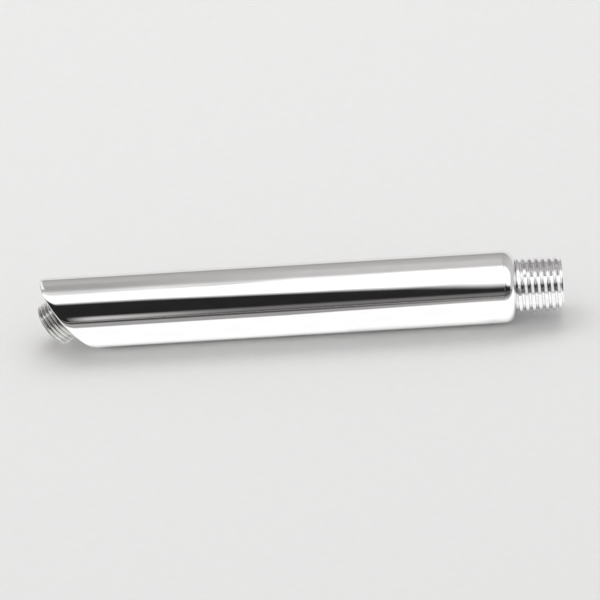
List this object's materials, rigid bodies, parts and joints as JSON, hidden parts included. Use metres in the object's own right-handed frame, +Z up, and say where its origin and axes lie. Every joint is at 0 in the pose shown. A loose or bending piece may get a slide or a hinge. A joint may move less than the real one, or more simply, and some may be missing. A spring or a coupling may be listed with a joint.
{
  "type": "shower arm",
  "caption": "Straight round shower arm in polished chrome: threaded wall inlet, round shoulder, and a slanted end with a short threaded outlet set square to it.",
  "frame": {"origin": "centre of the inlet thread at its gauge plane, on the arm's axis", "axes": "+X along the arm's axis out of the inlet and into the wall, +Z up, outlet pointing down and away from the wall in the plane of X and Z"},
  "size_m": [0.2048, 0.0285, 0.0284],
  "materials": {
    "chrome": "polished plating over cast brass"
  },
  "bodies": {
    "root": {"shower_arm": "chrome"}
  },
  "joints": []
}
